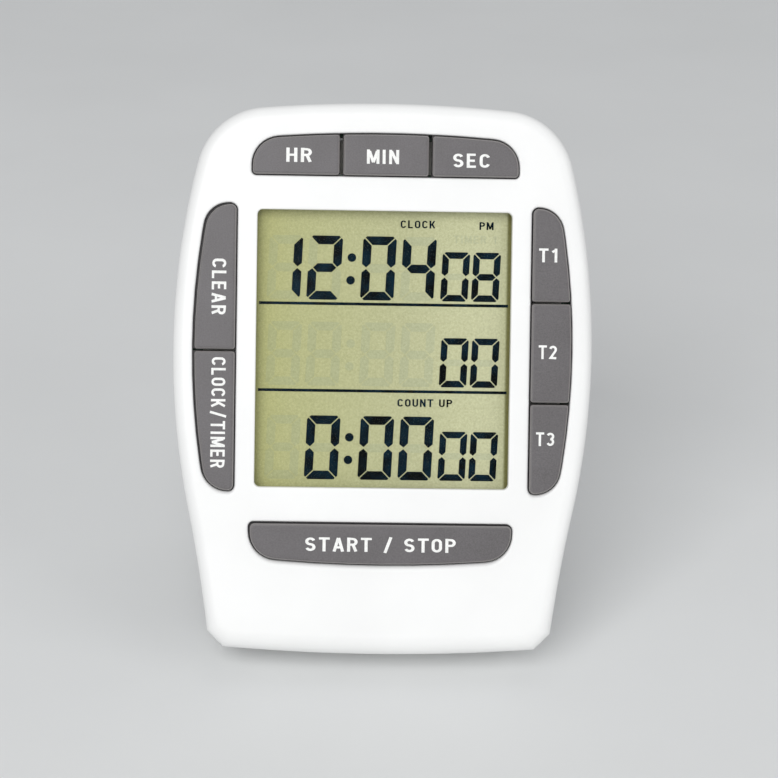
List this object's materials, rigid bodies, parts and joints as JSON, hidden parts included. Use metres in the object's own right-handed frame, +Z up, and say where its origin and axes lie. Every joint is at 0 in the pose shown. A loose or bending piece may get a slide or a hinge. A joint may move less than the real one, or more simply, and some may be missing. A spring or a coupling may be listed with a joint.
{
  "type": "lab timer",
  "caption": "Multi-channel lab timer: white barrel-shaped case, large display, grey keys on every side of it, fold-out stand, magnets and battery door on the back.",
  "frame": {"origin": "middle of the footprint, on the surface that the timer stands on", "axes": "+Z up; +X to the right as the face is seen; +Y from the face to the back. The case leans back 25 degrees on its open stand."},
  "size_m": [0.07, 0.0532, 0.0888],
  "materials": {
    "case_plastic": "satin moulded ABS, white",
    "key_plastic": "satin moulded ABS, warm grey",
    "window_plastic": "clear polished acrylic",
    "gasket_foam": "black closed-cell foam",
    "polariser_film": "grey-green film",
    "display_glass": "thin clear glass",
    "reflector_film": "olive reflecting film",
    "frame_plastic": "moulded ABS, natural",
    "strip_rubber": "layered silicone",
    "board_laminate": "green solder mask",
    "black_resin": "black epoxy",
    "plated_steel": "nickel plated",
    "steel": "zinc plated",
    "capacitor_sleeve": "shrink sleeve",
    "coil_ferrite": "ferrite and enamelled wire",
    "carbon_ink": "printed carbon",
    "silicone": "translucent silicone",
    "brass": "bright brass",
    "ceramic": "silvered ceramic",
    "wire_sleeve": "PVC sleeve",
    "cell_label": "printed sleeve",
    "magnet_plating": "nickel plated"
  },
  "bodies": {
    "case": {"front_shell": "case_plastic", "rear_shell": "case_plastic", "stand_pin": "steel", "display_window": "window_plastic", "display_gasket": "gasket_foam", "lcd_front_polariser": "polariser_film", "lcd_front_glass": "display_glass", "lcd_rear_glass": "display_glass", "lcd_reflector": "reflector_film", "lcd_frame": "frame_plastic", "contact_strip_top": "strip_rubber", "contact_strip_bottom": "strip_rubber", "main_board": "board_laminate", "chip_cover": "black_resin", "crystal": "plated_steel", "capacitors": "capacitor_sleeve", "resistors": "black_resin", "buzzer_coil": "coil_ferrite", "buzzer_transistor": "black_resin", "key_contacts": "carbon_ink", "keypad_top": "silicone", "keypad_left": "silicone", "keypad_right": "silicone", "keypad_start_stop": "silicone", "buzzer_plate": "brass", "buzzer_ceramic": "ceramic", "buzzer_wires": "wire_sleeve", "battery_cell": "cell_label", "battery_cap": "plated_steel", "battery_spring": "plated_steel", "battery_contact": "plated_steel", "battery_wires": "wire_sleeve", "case_screws": "steel", "board_screws": "steel", "magnets": "magnet_plating"},
    "stand": {"stand": "case_plastic"},
    "battery_door": {"battery_door": "case_plastic"},
    "key_hour": {"key_hour": "key_plastic", "plunger_hour": "silicone"},
    "key_minute": {"key_minute": "key_plastic", "plunger_minute": "silicone"},
    "key_second": {"key_second": "key_plastic", "plunger_second": "silicone"},
    "key_clear": {"key_clear": "key_plastic", "plunger_clear": "silicone"},
    "key_mode": {"key_mode": "key_plastic", "plunger_mode": "silicone"},
    "key_timer_1": {"key_timer_1": "key_plastic", "plunger_timer_1": "silicone"},
    "key_timer_2": {"key_timer_2": "key_plastic", "plunger_timer_2": "silicone"},
    "key_timer_3": {"key_timer_3": "key_plastic", "plunger_timer_3": "silicone"},
    "key_start_stop": {"key_start_stop": "key_plastic", "plunger_start_stop": "silicone"}
  },
  "joints": [
    {"name": "stand_hinge", "type": "hinge", "parent": "case", "child": "stand", "pos_m": [0, 0.01052, 0.04787], "axis": [1, 0, 0], "range_deg": [-38, 0]},
    {"name": "battery_door_hinge", "type": "hinge", "parent": "case", "child": "battery_door", "pos_m": [0, -0.01125, 0.00401], "axis": [-1, 0, 0], "range_deg": [0, 60]},
    {"name": "key_hour_press", "type": "slide", "parent": "case", "child": "key_hour", "axis": [0, 0.9063, -0.4226], "range_m": [0, 0.0009], "stiffness_N_per_m": 400, "springref_m": -0.0008},
    {"name": "key_minute_press", "type": "slide", "parent": "case", "child": "key_minute", "axis": [0, 0.9063, -0.4226], "range_m": [0, 0.0009], "stiffness_N_per_m": 400, "springref_m": -0.0008},
    {"name": "key_second_press", "type": "slide", "parent": "case", "child": "key_second", "axis": [0, 0.9063, -0.4226], "range_m": [0, 0.0009], "stiffness_N_per_m": 400, "springref_m": -0.0008},
    {"name": "key_clear_press", "type": "slide", "parent": "case", "child": "key_clear", "axis": [0, 0.9063, -0.4226], "range_m": [0, 0.0009], "stiffness_N_per_m": 400, "springref_m": -0.0008},
    {"name": "key_mode_press", "type": "slide", "parent": "case", "child": "key_mode", "axis": [0, 0.9063, -0.4226], "range_m": [0, 0.0009], "stiffness_N_per_m": 400, "springref_m": -0.0008},
    {"name": "key_timer_1_press", "type": "slide", "parent": "case", "child": "key_timer_1", "axis": [0, 0.9063, -0.4226], "range_m": [0, 0.0009], "stiffness_N_per_m": 400, "springref_m": -0.0008},
    {"name": "key_timer_2_press", "type": "slide", "parent": "case", "child": "key_timer_2", "axis": [0, 0.9063, -0.4226], "range_m": [0, 0.0009], "stiffness_N_per_m": 400, "springref_m": -0.0008},
    {"name": "key_timer_3_press", "type": "slide", "parent": "case", "child": "key_timer_3", "axis": [0, 0.9063, -0.4226], "range_m": [0, 0.0009], "stiffness_N_per_m": 400, "springref_m": -0.0008},
    {"name": "key_start_stop_press", "type": "slide", "parent": "case", "child": "key_start_stop", "axis": [0, 0.9063, -0.4226], "range_m": [0, 0.0009], "stiffness_N_per_m": 400, "springref_m": -0.0008}
  ]
}
